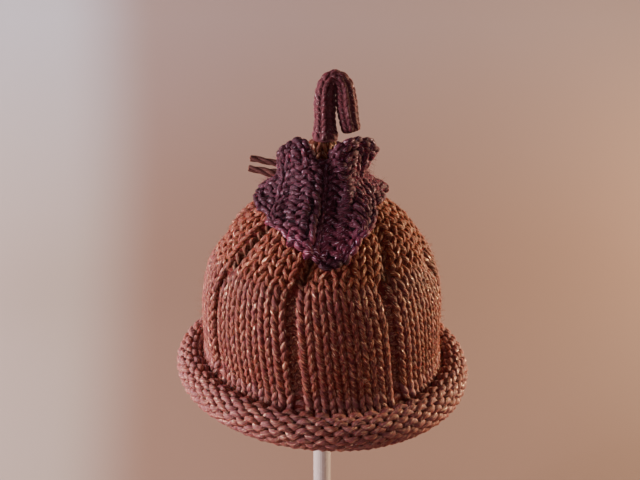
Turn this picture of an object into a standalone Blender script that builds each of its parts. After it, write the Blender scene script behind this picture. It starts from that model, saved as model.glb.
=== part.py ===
"""A baby's knitted pixie hat on a plain display stand.

The hat is one knitted wall: a ribbed crown that gathers to a neck at the top and
curls outward into a rolled brim at the bottom. A leafy ruff is tied round the neck,
and a knitted cord stands on the neck and bends over into a hook. A foot, a post and
a domed rest hold the hat up. Metres, +Z up, front towards -Y, origin on the table.
"""
import math

import bpy
from mathutils import Vector

# stand
foot_radius = 0.062
foot_height = 0.012
foot_edge = 0.002
foot_sides = 48
post_radius = 0.0057
post_sides = 24
hat_height = 0.195          # from the table to the widest ring of the crown
rest_radius = 0.036
rest_flat = 0.014           # the dome is flat inside this radius
rest_skirt = 0.005
rest_sides = 32
rest_gap = 0.0002           # past the deepest pleat of the crown
seat_gap = 0.0003           # between pieces that touch

# crown, sizes over the outside of the knitting
crown_radius = 0.0712
crown_rise = 0.100          # widest ring to the top of the neck
crown_drop = 0.022          # widest ring to where the brim starts to flare
knit_wall = 0.0052

# rolled brim
roll_radius = 0.0092        # of the roll's section, over the outside
roll_out = 0.0078           # the middle of that section lies this far outside the crown
roll_drop = 0.0347          # widest ring down to the middle of the section
roll_mouth = 0.0028         # from the straight crown to the roll's free edge
roll_step = 25              # degrees between the section's points
roll_tilt = 0.0035          # the brim sits this much lower at the right, higher at the left
roll_shift = 0.0010         # the brim sits this much further to the right
roll_wave = 0.0006          # the brim swells and narrows by this much
roll_waves = 3              # times round the hat
flare_share = 0.28          # how far the flare has come out half way down to the roll

# purl grooves, notches and pleats
sections = 8
first_line = -14.5          # azimuth of one notch in degrees: 0 is the front, 90 the right
lean = 8                    # degrees the grooves lean in crown_rise of fall below the notches
lean_end = 0.64             # share of crown_rise below the notches where they stand upright again
swirl = 14                  # degrees the lines lean the other way above the notches
notch_rise = 0.034
groove_depth = 0.0018
notch_depth = 0.0034
pleat_depth = 0.0024
dent_length = 0.005         # half the height of a notch
pleat_root = 0.032          # the pleats run out towards the neck inside this radius
pleat_fade = 1.5            # power of that fall
swirl_top = 0.075           # the lines have leaned all the way over at this height

# ruff round the neck
ruff_wall = 0.0042
ruff_columns = 48
ruff_upper_rows = 5
ruff_lower_rows = 8
ruff_gap = 0.0005           # to the crown's tallest pleat
ruff_spread = 0.004         # the skirt leaves the waist this far out
waist_share = 0.81          # the waist's height as a share of crown_rise
waist_room = 0.0006         # between the tie and the ruff
ruff_rise = 0.0250
ruff_reach = 0.0130
ruff_curl = 1.4             # power of the upper edge's bend, more bends it later
ruff_length = 0.0540
ruff_fold = 0.0040
slit_azimuth = -100
slit_room = 0.0006          # on each side of the ends that come out

# cord round the neck
tie_radius = 0.00175
tie_end = 0.0230            # how far each end sticks out past the middle of the tied loop
tie_step = 0.0062           # one end lies this much above the other
tie_lift = 0.0038           # how far the ends climb on their way out
tie_gap = 0.0004
tie_bend = 15               # degrees before the slit where the tie turns outwards
tie_spans = 22

# stem
stem_radius = 0.0058
stem_height = 0.0325
stem_gap = 0.0005           # between the upright and the part that hangs down
stem_lean = 0.0040

# crown from the neck down: rise as a share of crown_rise, radius as a share of crown_radius
crown_outline = (
    (1.000, 0.110), (0.950, 0.126), (0.900, 0.142), (0.850, 0.157), (0.805, 0.174),
    (0.765, 0.204), (0.725, 0.275), (0.680, 0.400), (0.630, 0.525), (0.585, 0.620),
    (0.530, 0.707), (0.470, 0.770), (0.400, 0.842), (0.340, 0.895), (0.280, 0.936),
    (0.200, 0.968), (0.100, 0.990), (-0.020, 1.000), (-0.120, 1.000),
)
# one section between two grooves: place across it, then the push below, at and above the notch
section_form = (
    (0.00, -1.0, -1.0, 0.5),
    (0.10, 0.1, -0.5, -1.0),
    (0.29, 0.2, 0.15, -0.1),
    (0.50, 0.2, 0.3, 0.5),
    (0.71, 0.2, 0.15, 0.6),
    (0.90, 0.1, -0.5, 0.3),
)
# lower edge of the ruff: azimuth in degrees, share of ruff_length
ruff_hem = (
    (-100, 0.34), (-88, 0.34), (-76, 0.38), (-52, 0.44), (-41, 0.47), (-33, 0.57),
    (-24, 0.60), (-15, 0.70), (-8, 0.79), (3, 0.97), (9, 0.93), (15, 0.84), (23, 0.67),
    (30, 0.60), (37, 0.49), (45, 0.38), (54, 0.34), (66, 0.35), (80, 0.33), (92, 0.30),
    (104, 0.34), (115, 0.42), (132, 0.58), (148, 0.44), (178, 0.74), (198, 0.45),
    (212, 0.43), (228, 0.58), (245, 0.42), (260, 0.34),
)
# upper edge: azimuth in degrees, share of ruff_rise, share of ruff_reach past the waist
ruff_brow = (
    (-100, 0.44, 0.00), (-85, 0.50, 0.00), (-70, 0.62, 0.04), (-55, 0.82, 0.00),
    (-42, 0.95, -0.10), (-31, 1.02, -0.16), (-24, 0.94, -0.24), (-15, 0.56, -0.30),
    (4, 0.51, -0.28), (15, 0.55, -0.15), (25, 0.94, 0.05), (34, 1.02, 0.18),
    (46, 1.02, 0.27), (60, 0.88, 0.52), (72, 0.72, 0.72), (85, 0.60, 0.62),
    (100, 0.55, 0.55), (115, 0.56, 0.38), (130, 0.58, 0.20), (155, 0.55, -0.10),
    (180, 0.51, -0.30), (205, 0.53, -0.15), (230, 0.54, 0.00), (260, 0.44, 0.00),
)
# folds of the ruff: azimuth in degrees, share of ruff_fold
ruff_folds = (
    (-100, 0.3), (-84, 0.35), (-66, 0.4), (-48, 0.15), (-30, 0.5), (-9, 1.0), (0, 0.1),
    (14, 0.0), (26, 0.7), (38, 0.6), (52, 0.1), (66, 0.3), (80, 0.0), (94, 0.1),
    (108, 0.3), (130, 0.7), (150, 0.15), (176, 0.7), (200, 0.1), (222, 0.7),
    (244, 0.2), (260, 0.3),
)
# stem: side, back and height as shares of its span, lean and height, girth of its radius
stem_route = (
    (0.14, 0.0, 0.00, 1.36),
    (0.14, 0.0, 0.18, 1.12),
    (0.13, 0.2, 0.38, 1.00),
    (0.13, 0.6, 0.58, 0.96),
    (0.15, 0.8, 0.78, 0.87),
    (0.22, 0.9, 0.90, 0.78),
    (0.38, 1.0, 0.985, 0.70),
    (0.59, 1.1, 1.01, 0.68),
    (0.80, 1.0, 0.985, 0.70),
    (0.97, 0.9, 0.90, 0.78),
    (1.05, 0.7, 0.78, 0.87),
    (1.12, 0.3, 0.58, 0.95),
    (1.21, 0.0, 0.36, 0.97),
    (1.36, -0.3, 0.13, 0.91),
)


def ease(low, high, value):
    """0 below low, 1 above high, and a smooth step between."""
    share = min(1.0, max(0.0, (value - low) / (high - low)))
    return share * share * (3 - 2 * share)


def read_table(rows, place, column=1):
    """The column's value at a place, eased between the rows."""
    if place <= rows[0][0]:
        return rows[0][column]
    for low, high in zip(rows, rows[1:]):
        if place <= high[0]:
            return low[column] + (high[column] - low[column]) * ease(low[0], high[0], place)
    return rows[-1][column]


def place_at(azimuth, radius, height):
    """A point at an azimuth from the front towards the right, heights over the widest ring."""
    turn = math.radians(azimuth)
    return Vector((radius * math.sin(turn), -radius * math.cos(turn), hat_height + height))


def offset_line(line, push):
    """A line of (radius, height) points that runs down, moved outwards by push."""
    moved = []
    for spot in range(len(line)):
        before = line[max(spot - 1, 0)]
        after = line[min(spot + 1, len(line) - 1)]
        run = Vector((after[0] - before[0], after[1] - before[1])).normalized()
        moved.append((line[spot][0] - run.y * push, line[spot][1] + run.x * push))
    return moved


def crown_line():
    """The outside of the crown in the upright plane, from the neck down to the flare."""
    line = [(share * crown_radius, rise * crown_rise) for rise, share in crown_outline]
    return line + [(crown_radius, -crown_drop)]


def wall_line():
    """The middle of the knitted wall from the neck down, and round the roll to its free edge."""
    line = offset_line(crown_line(), -knit_wall / 2)
    middle = crown_radius + roll_out
    bend = roll_radius - knit_wall / 2
    flare = line[-1][0] + flare_share * (middle - bend - line[-1][0])
    line.append((flare, -(crown_drop + roll_drop) / 2))
    closing = math.degrees(math.acos(-min(0.98, (roll_out - roll_mouth) / roll_radius)))
    turn = 180 + closing
    steps = round(turn / roll_step)
    for step in range(steps + 1):
        angle = math.radians(180 + turn * step / steps)
        line.append((middle + bend * math.cos(angle), -roll_drop + bend * math.sin(angle)))
    return line


def radius_at(line, height):
    """Radius of a falling line of (radius, height) points at a height."""
    for upper, lower in zip(line, line[1:]):
        if lower[1] <= height <= upper[1]:
            share = (upper[1] - height) / (upper[1] - lower[1])
            return upper[0] + (lower[0] - upper[0]) * share
    return line[0][0] if height > line[0][1] else line[-1][0]


def height_at(line, radius):
    """Height of a line of (radius, height) points where it reaches a radius."""
    for upper, lower in zip(line, line[1:]):
        if upper[0] <= radius <= lower[0]:
            share = (radius - upper[0]) / (lower[0] - upper[0])
            return upper[1] + (lower[1] - upper[1]) * share
    return line[-1][1]


def gather_at(radius):
    """1 over the crown's shoulders, falling to nothing as the pleats run out in the neck."""
    return min(1.0, radius / pleat_root) ** pleat_fade


def ridge_at(radius):
    """How far the tallest pleat stands out of the crown where it has a radius."""
    return pleat_depth * gather_at(radius) * max(row[3] for row in section_form)


def section_push(column, height, radius):
    """How far a column of the section form stands out of the crown at a height."""
    low, notch, high = section_form[column][1:]
    below = 1 - ease(notch_rise - dent_length, notch_rise, height)
    above = ease(notch_rise, notch_rise + 2 * dent_length, height) * gather_at(radius)
    at_notch = math.exp(-((height - notch_rise) / dent_length) ** 2)
    fade = ease(-roll_drop, -crown_drop / 2, height)
    return (low * groove_depth * below * fade + high * pleat_depth * above
            + notch * notch_depth * at_notch)


def material(name, colour, roughness, metallic=0.0):
    finish = bpy.data.materials.new(name)
    finish.use_nodes = True
    shader = finish.node_tree.nodes["Principled BSDF"]
    shader.inputs["Base Color"].default_value = (*colour, 1.0)
    shader.inputs["Roughness"].default_value = roughness
    shader.inputs["Metallic"].default_value = metallic
    return finish


def add_object(name, data, finish):
    item = bpy.data.objects.new(name, data)
    data.materials.append(finish)
    parts.objects.link(item)
    return item


def screw_mesh(line, steps):
    """A closed turn of an upright line of (radius, height) points, as a mesh."""
    profile = bpy.data.meshes.new("profile")
    corners = [(radius, 0.0, height) for radius, height in line]
    profile.from_pydata(corners, [(spot, spot + 1) for spot in range(len(line) - 1)], [])
    turned = bpy.data.objects.new("turned", profile)
    parts.objects.link(turned)
    screw = turned.modifiers.new("turn", "SCREW")
    screw.steps = steps
    screw.render_steps = steps
    screw.use_merge_vertices = True
    screw.merge_threshold = 0.00001
    depsgraph = bpy.context.evaluated_depsgraph_get()
    depsgraph.update()
    mesh = bpy.data.meshes.new_from_object(turned.evaluated_get(depsgraph))
    bpy.data.objects.remove(turned)
    bpy.data.meshes.remove(profile)
    return mesh


def shade_round(mesh, angle=40):
    mesh.shade_smooth()
    mesh.set_sharp_from_angle(angle=math.radians(angle))


def thicken(item, wall):
    solid = item.modifiers.new("wall", "SOLIDIFY")
    solid.thickness = wall
    solid.offset = 0.0
    solid.use_even_offset = False


def dent_crown(mesh, line):
    """Moves the turned wall's points into grooves, notches, pleats, swirl and brim tilt."""
    columns = len(section_form)
    outward = offset_line(line, 1.0)
    normals = [Vector((away[0] - spot[0], away[1] - spot[1])) for spot, away in zip(line, outward)]
    for vertex in mesh.vertices:
        radius = math.hypot(vertex.co.x, vertex.co.y)
        height = vertex.co.z
        turn = math.degrees(math.atan2(vertex.co.y, vertex.co.x)) % 360
        count = round(turn * sections * columns / 360) % (sections * columns)
        section, column = divmod(count, columns)
        station = min(range(len(line)),
                      key=lambda spot: (line[spot][0] - radius) ** 2 + (line[spot][1] - height) ** 2)
        in_roll = station > len(crown_outline)
        azimuth = first_line + (section + section_form[column][0]) * 360 / sections
        azimuth += swirl * ease(notch_rise, swirl_top, height)
        azimuth += lean * min(lean_end, max(0.0, (notch_rise - height) / crown_rise))
        push = 0.0 if in_roll else section_push(column, height, radius)
        radius += normals[station].x * push
        height += normals[station].y * push
        slope = 1 - ease(-roll_drop, 0.0, height)
        turn = math.radians(azimuth)
        height -= roll_tilt * slope * math.sin(turn)
        radius += slope * (roll_shift * math.sin(turn) + roll_wave * math.sin(roll_waves * turn))
        vertex.co = place_at(azimuth, radius, height)


def build_crown():
    line = wall_line()
    mesh = screw_mesh(line, sections * len(section_form))
    dent_crown(mesh, line)
    shade_round(mesh, 60)
    crown = add_object("crown", mesh, material("rust_knit", (0.23, 0.085, 0.055), 0.9))
    thicken(crown, knit_wall)


def tie_ring():
    """Height and radius of the tie's lower turn, close round the pleated neck."""
    height = waist_share * crown_rise - tie_step / 2
    near = radius_at(crown_line(), height)
    room = tie_gap + tie_radius + ridge_at(near + tie_radius)
    return height, radius_at(offset_line(crown_line(), room), height)


def ruff_line(azimuth):
    """The middle of the ruff's wall at an azimuth, from its upper edge to its hem."""
    fold = ruff_fold * read_table(ruff_folds, azimuth)
    waist_rise = waist_share * crown_rise
    waist = tie_ring()[1] + tie_radius + waist_room + ruff_wall / 2 + fold
    rise = ruff_rise * read_table(ruff_brow, azimuth, 1)
    reach = ruff_reach * read_table(ruff_brow, azimuth, 2)
    neck = offset_line(crown_line(), ruff_gap + ruff_wall / 2 + ridge_at(waist))
    line = []
    for row in range(ruff_upper_rows):
        share = 1 - row / ruff_upper_rows
        height = waist_rise + rise * share
        line.append((max(waist + reach * share ** ruff_curl, radius_at(neck, height)), height))
    proud = ruff_gap + ruff_wall / 2 + ridge_at(crown_radius) + fold
    skirt = [spot for spot in offset_line(crown_line(), proud) if spot[0] > waist + ruff_spread]
    path = [Vector(spot) for spot in [(waist, waist_rise)] + skirt]
    length = ruff_length * read_table(ruff_hem, azimuth)
    for row in range(ruff_lower_rows + 1):
        spot = along(path, length * row / ruff_lower_rows)
        line.append((spot.x, spot.y))
    return line


def along(path, distance):
    """The point of a path of vectors at a distance from its start."""
    for first, last in zip(path, path[1:]):
        step = (last - first).length
        if distance <= step:
            return first.lerp(last, distance / step)
        distance -= step
    return path[-1]


def build_ruff():
    """A sheet of columns round the neck, open at the slit where the tied ends come out."""
    slit_half = tie_radius + slit_room
    corners = []
    for column in range(ruff_columns + 1):
        share = column / ruff_columns
        ring = ruff_line(slit_azimuth + 360 * share)
        for radius, height in ring:
            edge = math.degrees(slit_half / radius)
            azimuth = slit_azimuth + edge + (360 - 2 * edge) * share
            corners.append(place_at(azimuth, radius, height))
    rows = len(ring)
    faces = []
    for column in range(ruff_columns):
        for row in range(rows - 1):
            spot = column * rows + row
            faces.append((spot, spot + 1, spot + rows + 1, spot + rows))
    mesh = bpy.data.meshes.new("neck_ruff")
    mesh.from_pydata(corners, [], faces)
    shade_round(mesh, 60)
    ruff = add_object("neck_ruff", mesh, material("plum_knit", (0.075, 0.035, 0.065), 0.9))
    thicken(ruff, ruff_wall)


def smooth_route(points, per_span):
    """Points of a smooth curve through the given ones, per_span for each gap between two."""
    ends = [2 * points[0] - points[1]] + list(points) + [2 * points[-1] - points[-2]]
    route = []
    for first, low, high, last in zip(ends, ends[1:], ends[2:], ends[3:]):
        for step in range(per_span):
            t = step / per_span
            route.append(0.5 * (2 * low + (high - first) * t
                                + (2 * first - 5 * low + 4 * high - last) * t ** 2
                                + (3 * low - first - 3 * high + last) * t ** 3))
    return route + [points[-1]]


def tube(name, route, radius, resolution, finish):
    """A round bar along points of four numbers: x, y, z and girth as a share of the radius."""
    curve = bpy.data.curves.new(name, "CURVE")
    curve.dimensions = "3D"
    curve.bevel_depth = radius
    curve.bevel_resolution = resolution
    curve.use_fill_caps = True
    spline = curve.splines.new("POLY")
    spline.points.add(len(route) - 1)
    for point, spot in zip(spline.points, route):
        point.co = (spot[0], spot[1], spot[2], 1.0)
        point.radius = spot[3]
    return add_object(name, curve, finish)


def build_stem():
    foot = hat_height + crown_rise + seat_gap
    span = 2 * stem_radius + stem_gap
    points = [Vector((side * span, back * stem_lean, foot + rise * stem_height, girth))
              for side, back, rise, girth in stem_route]
    finish = material("mauve_knit", (0.12, 0.065, 0.08), 0.85)
    tube("stem", smooth_route(points, 3), stem_radius, 3, finish)


def build_tie():
    """One turn round the neck under the ruff, with both ends out through the slit."""
    low, reach = tie_ring()
    first = slit_azimuth + tie_bend
    sweep = 360 - 2 * tie_bend
    loop = []
    for step in range(tie_spans + 1):
        share = step / tie_spans
        loop.append(place_at(first + sweep * share, reach, low + tie_step * share))
    low_end = tie_tip(reach, low)
    high_end = tie_tip(reach, low + tie_step)
    route = [Vector((*spot, 1.0)) for spot in low_end[::-1] + loop + high_end]
    finish = material("brown_cord", (0.06, 0.035, 0.03), 0.8)
    tube("neck_tie", smooth_route(route, 2), tie_radius, 2, finish)


def tie_tip(reach, height):
    """Points of one end of the tie, from the neck out through the slit."""
    return [place_at(slit_azimuth, reach + share * tie_end, height + share * tie_lift)
            for share in (0.09, 0.32, 0.66, 1.0)]


def build_stand(finish):
    foot_line = [(0.0, foot_height), (foot_radius - foot_edge, foot_height),
                 (foot_radius, foot_height - foot_edge), (foot_radius, 0.0), (0.0, 0.0)]
    foot = screw_mesh(foot_line, foot_sides)
    shade_round(foot, 30)
    add_object("stand_foot", foot, finish)

    under = offset_line(crown_line(), -knit_wall - pleat_depth - rest_gap)
    rest_rim = height_at(under, rest_radius)
    dome = [spot for spot in under if rest_flat < spot[0] < rest_radius]
    rest_bottom = rest_rim - rest_skirt
    rest_line = [(0.0, dome[0][1])] + dome
    rest_line += [(rest_radius, rest_rim), (rest_radius, rest_bottom), (0.0, rest_bottom)]
    rest_line = [(radius, hat_height + height) for radius, height in rest_line]
    rest = screw_mesh(rest_line, rest_sides)
    shade_round(rest, 30)
    add_object("stand_rest", rest, finish)

    low = foot_height + seat_gap
    high = hat_height + rest_bottom - seat_gap
    post = screw_mesh([(0.0, high), (post_radius, high), (post_radius, low), (0.0, low)], post_sides)
    shade_round(post, 30)
    add_object("stand_post", post, finish)


for old in list(bpy.data.objects):
    bpy.data.objects.remove(old, do_unlink=True)
parts = bpy.data.collections.new("pixie_hat")
bpy.context.scene.collection.children.link(parts)
build_crown()
build_ruff()
build_stem()
build_tie()
build_stand(material("white_plastic", (0.82, 0.80, 0.76), 0.25))
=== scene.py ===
# Knitted pixie hat on a display stand: the looks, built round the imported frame
import math

import bmesh
import bpy
import numpy as np
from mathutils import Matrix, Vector


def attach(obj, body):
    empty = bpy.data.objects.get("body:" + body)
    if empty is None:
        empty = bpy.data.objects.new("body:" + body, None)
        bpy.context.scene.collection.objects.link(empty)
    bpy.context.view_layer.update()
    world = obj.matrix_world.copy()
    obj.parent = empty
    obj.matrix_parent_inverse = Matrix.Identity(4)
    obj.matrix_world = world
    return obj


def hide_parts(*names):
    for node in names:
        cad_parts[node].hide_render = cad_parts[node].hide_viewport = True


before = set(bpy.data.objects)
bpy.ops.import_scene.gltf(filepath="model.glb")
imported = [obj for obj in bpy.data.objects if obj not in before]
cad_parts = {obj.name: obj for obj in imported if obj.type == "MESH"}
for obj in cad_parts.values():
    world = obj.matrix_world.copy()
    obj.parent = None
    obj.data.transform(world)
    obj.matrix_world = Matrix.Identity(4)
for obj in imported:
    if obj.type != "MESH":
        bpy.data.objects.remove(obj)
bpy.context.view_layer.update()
print("frame loaded:", len(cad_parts), "nodes")



def addObject(name, data):
    item = bpy.data.objects.new(name, data)
    bpy.context.scene.collection.objects.link(item)
    return item


# Camera, at the photograph's angle, for a picture of 640 by 480
camera = {
    "place": (0.0, -0.3806, 0.3808),
    "pitch": 20.83,             # degrees below the horizon
    "focal": 700.0,             # pixels
    "sensor": 36.0,
    "axisOff": 2.0,             # pixels from the picture's middle to the hat's axis
    "width": 640.0,
}


def buildCamera(spec):
    data = bpy.data.cameras.new("photoView")
    data.sensor_width = spec["sensor"]
    data.lens = spec["sensor"] * spec["focal"] / spec["width"]
    data.shift_x = -spec["axisOff"] / spec["width"]
    data.clip_start = 0.01
    data.clip_end = 20
    item = addObject("photoView", data)
    item.location = spec["place"]
    item.rotation_euler = (math.radians(90 - spec["pitch"]), 0, 0)
    bpy.context.scene.camera = item


buildCamera(camera)
print("camera set")


# Shared helpers
def ease(low, high, value):
    share = np.clip((value - low) / (high - low), 0.0, 1.0)
    return share * share * (3 - 2 * share)


def bell(value, width):  # 1 in the middle, falling away on both sides
    return np.exp(-(value / width) ** 2)


def asideFrom(place, turn):  # how far a place across a section is from another, the shorter way
    return (turn - place + 0.5) % 1.0 - 0.5


def unit(vectors):
    return vectors / np.maximum(np.linalg.norm(vectors, axis=-1, keepdims=True), 1e-12)


def readTable(rows, place, column=1):  # eased between the rows, as the solids are
    places = np.array([row[0] for row in rows], float)
    values = np.array([row[column] for row in rows], float)
    place = np.clip(place, places[0], places[-1])
    spot = np.clip(np.searchsorted(places, place, side="right") - 1, 0, len(rows) - 2)
    share = ease(places[spot], places[spot + 1], place)
    return values[spot] + (values[spot + 1] - values[spot]) * share


def smoothLine(knots, perSpan):  # a curve through all the knots
    knots = np.array(knots, float)
    ends = np.vstack([2 * knots[0] - knots[1], knots, 2 * knots[-1] - knots[-2]])
    t = (np.arange(perSpan) / perSpan)[:, None]
    spans = []
    for first, low, high, last in zip(ends, ends[1:], ends[2:], ends[3:]):
        spans.append(0.5 * (2 * low + (high - first) * t
                            + (2 * first - 5 * low + 4 * high - last) * t ** 2
                            + (3 * low - first - 3 * high + last) * t ** 3))
    return np.vstack(spans + [knots[-1:]])


def runAlong(line):  # distance from the line's first point to each of its points
    steps = np.linalg.norm(np.diff(line, axis=0), axis=1)
    return np.concatenate([[0.0], np.cumsum(steps)])


def alongLine(values, run, along):  # the values at distances along a line
    return np.column_stack([np.interp(along, run, column) for column in values.T])


def pushLine(line, push):  # a falling line of (radius, height), moved outwards
    run = unit(np.gradient(line, axis=0))
    return line + push * np.column_stack([-run[:, 1], run[:, 0]])


def placeAt(azimuth, radius, height):  # azimuth 0 is the front, 90 the right
    turn = np.radians(azimuth)
    return np.column_stack([radius * np.sin(turn), -radius * np.cos(turn),
                            hat["height"] + height])


def addPiece(name, data, finish, node):  # node: the solid that the piece stands for
    data.materials.clear()
    data.materials.append(finish)
    item = addObject(name, data)
    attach(item, "root")
    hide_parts(node)


def yarnMesh(name, strands, girth, sides=6):
    # strands: (points, closed, thickness as a share of the girth) of each length of yarn
    curve = bpy.data.curves.new(name, "CURVE")
    curve.dimensions = "3D"
    curve.bevel_depth = girth
    curve.bevel_resolution = sides // 2 - 2
    curve.use_fill_caps = True
    for points, closed, share in strands:
        spline = curve.splines.new("POLY")
        spline.points.add(len(points) - 1)
        spline.points.foreach_set("co", np.column_stack([points, np.ones(len(points))]).ravel())
        spline.points.foreach_set("radius", share)
        spline.use_cyclic_u = closed
    carrier = bpy.data.objects.new(name, curve)
    mesh = bpy.data.meshes.new_from_object(carrier)
    bpy.data.objects.remove(carrier)
    bpy.data.curves.remove(curve)
    mesh.name = name
    mesh.shade_smooth()
    # the map's first number becomes centimetres of yarn since the first strand's start
    layer = mesh.uv_layers[0]
    layer.name = "yarn"
    uv = np.empty(len(mesh.loops) * 2)
    layer.uv.foreach_get("vector", uv)
    uv = uv.reshape(-1, 2)
    sizes = [(len(points) - (0 if closed else 1)) * sides * 4 for points, closed, share in strands]
    corner = len(uv) - sum(sizes)       # the end caps come first
    start = 0.0
    for (points, closed, share), size in zip(strands, sizes):
        length = 100 * runAlong(np.vstack([points, points[:1]]) if closed else points)[-1]
        uv[corner:corner + size, 0] = start + length * uv[corner:corner + size, 0]
        corner += size
        start += length
    layer.uv.foreach_set("vector", uv.ravel())
    return mesh


def paintShade(mesh, paintedShadeOf):  # painted shade: how much darker each place of the piece is, below 0 where a painted highlight makes it paler
    spots = np.empty(len(mesh.vertices) * 3)
    mesh.vertices.foreach_get("co", spots)
    x, y, z = spots.reshape(-1, 3).T
    layer = mesh.attributes.new("shade", "FLOAT", "POINT")
    layer.data.foreach_set("value", paintedShadeOf(np.degrees(np.arctan2(x, -y)), z - hat["height"]))


def meshOf(name, shape):
    bmesh.ops.recalc_face_normals(shape, faces=shape.faces)
    mesh = bpy.data.meshes.new(name)
    shape.to_mesh(mesh)
    shape.free()
    mesh.shade_smooth()
    return mesh


def backSheet(name, placeOf, across, down, thick):  # closes the gaps between the stitches
    shape = bmesh.new()
    bmesh.ops.create_grid(shape, x_segments=across, y_segments=down, size=1)
    spots = np.array([vertex.co[:2] for vertex in shape.verts])
    spots = (spots - spots.min(axis=0)) / np.ptp(spots, axis=0)
    for vertex, place in zip(shape.verts, placeOf(*spots.T)):
        vertex.co = place
    bmesh.ops.remove_doubles(shape, verts=shape.verts, dist=0.00001)
    bmesh.ops.solidify(shape, geom=shape.faces[:], thickness=thick)
    return meshOf(name, shape)


def loopsOf(count, knit):  # one row of loops: stitch number, how far round its loop, place across
    perStitch = knit["pointsPerStitch"]
    stitch = np.repeat(np.arange(count), perStitch)
    t = np.tile(np.arange(perStitch) * 2 * math.pi / perStitch, count)
    return stitch, t, t / (2 * math.pi) + knit["splay"] * np.sin(2 * t)


def unevenLoops(chance, knit, kinds, count, t):  # random shifts of each stitch, none at its ends
    shift = chance.normal(0, knit["uneven"], (kinds, count))
    return np.repeat(shift, knit["pointsPerStitch"], axis=1) * np.sin(t / 2) ** 2


def looseHairs(places, outs, spec, seed):  # fine fibres that stand off the yarn
    chance = np.random.default_rng(seed)
    count = len(places)
    reach = chance.uniform(*spec["length"], count)[:, None]
    away = unit(outs * spec["lift"] + chance.normal(0, spec["stray"], (count, 3)))
    bend = chance.normal(0, spec["bend"], (count, 3))
    taper = np.array(spec["taper"])
    hairs = [places + reach * (away * share + bend * share ** 2)
             for share in np.linspace(0, 1, len(taper))]
    return [(points, False, taper) for points in np.stack(hairs, axis=1)]


# The hat's form, in the same sizes as the solids
hat = {
    "height": 0.195,            # from the table to the crown's widest ring
    "radius": 0.0712,
    "rise": 0.100,
    "drop": 0.022,
    "wall": 0.0052,
    "rollRadius": 0.0092,
    "rollOut": 0.0078,
    "rollDrop": 0.0347,
    "rollMouth": 0.0028,
    "rollStep": 25,
    "flareShare": 0.28,
    "tilt": 0.0035,
    "shift": 0.0010,
    "wave": 0.0006,
    "waves": 3,
    "sections": 8,
    "firstLine": -14.5,
    "lean": 8,                  # degrees of lean in the crown's height, below the notches
    "leanEnd": 0.64,
    "swirl": 14,
    "swirlTop": 0.075,
    "notchRise": 0.034,
    "grooveDepth": 0.0018,
    "notchDepth": 0.0034,
    "pleatDepth": 0.0024,
    "dentLength": 0.005,
    "pleatRoot": 0.032,
    "pleatFade": 1.5,
    "curveSteps": 8,            # points of the wall's line for each row of the outline
    "flareFade": 0.010,         # the sections fade out over this much of the wall
}
crownOutline = (  # rise share, radius share, over the outside of the knitting
    (1.000, 0.110), (0.950, 0.126), (0.900, 0.142), (0.850, 0.157), (0.805, 0.174),
    (0.765, 0.204), (0.725, 0.275), (0.680, 0.400), (0.630, 0.525), (0.585, 0.620),
    (0.530, 0.707), (0.470, 0.770), (0.400, 0.842), (0.340, 0.895), (0.280, 0.936),
    (0.200, 0.968), (0.100, 0.990), (-0.020, 1.000), (-0.120, 1.000), (-0.220, 1.000),
)
sectionForm = (  # place across a section, push below, at and above the notch
    (0.00, -1.0, -1.0, 0.5), (0.10, 0.1, -0.5, -1.0), (0.29, 0.2, 0.15, -0.1),
    (0.50, 0.2, 0.3, 0.5), (0.71, 0.2, 0.15, 0.6), (0.90, 0.1, -0.5, 0.3),
)


def crownLine(push=0.0):  # the outside of the knitting, moved outwards
    line = [(share * hat["radius"], rise * hat["rise"]) for rise, share in crownOutline]
    return pushLine(np.array(line), push)


def radiusAt(line, height):
    return np.interp(-np.asarray(height), -line[:, 1], line[:, 0])


def gatherAt(radius):  # 1 on the shoulders, falling as the pleats run out in the neck
    return np.minimum(1.0, radius / hat["pleatRoot"]) ** hat["pleatFade"]


def ridgeAt(radius):
    return hat["pleatDepth"] * gatherAt(radius) * max(row[3] for row in sectionForm)


def wallLine():  # the middle of the knitted wall, from the neck down and round the roll
    line = [tuple(spot) for spot in crownLine(-hat["wall"] / 2)]
    middle = hat["radius"] + hat["rollOut"]
    bend = hat["rollRadius"] - hat["wall"] / 2
    flare = line[-1][0] + hat["flareShare"] * (middle - bend - line[-1][0])
    line.append((flare, -(hat["drop"] + hat["rollDrop"]) / 2))
    closing = math.degrees(math.acos(-(hat["rollOut"] - hat["rollMouth"]) / hat["rollRadius"]))
    turn = 180 + closing
    steps = round(turn / hat["rollStep"])
    for step in range(steps + 1):
        angle = math.radians(180 + turn * step / steps)
        line.append((middle + bend * math.cos(angle), -hat["rollDrop"] + bend * math.sin(angle)))
    return line


wall = {"line": smoothLine(wallLine(), hat["curveSteps"])}
wall["run"] = runAlong(wall["line"])
wall["out"] = pushLine(wall["line"], 1.0) - wall["line"]
toFlare = hat["curveSteps"] * (len(crownOutline) - 1)      # the line's points down to the flare
wall["flareRun"] = wall["run"][toFlare]
wall["notchRun"] = np.interp(-hat["notchRise"], -wall["line"][:toFlare, 1], wall["run"][:toFlare])
print("wall line:", round(wall["run"][-1] * 1000), "mm long")


def sectionPush(share, height, radius):
    places = [row[0] for row in sectionForm]
    low, notch, high = (np.interp(share, places, [row[column] for row in sectionForm], period=1)
                        for column in (1, 2, 3))
    notchAt = hat["notchRise"]
    below = 1 - ease(notchAt - hat["dentLength"], notchAt, height)
    above = ease(notchAt, notchAt + 2 * hat["dentLength"], height) * gatherAt(radius)
    atNotch = bell(height - notchAt, hat["dentLength"])
    fade = ease(-hat["rollDrop"], -hat["drop"] / 2, height)
    return (low * hat["grooveDepth"] * below * fade + high * hat["pleatDepth"] * above
            + notch * hat["notchDepth"] * atNotch)


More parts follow.
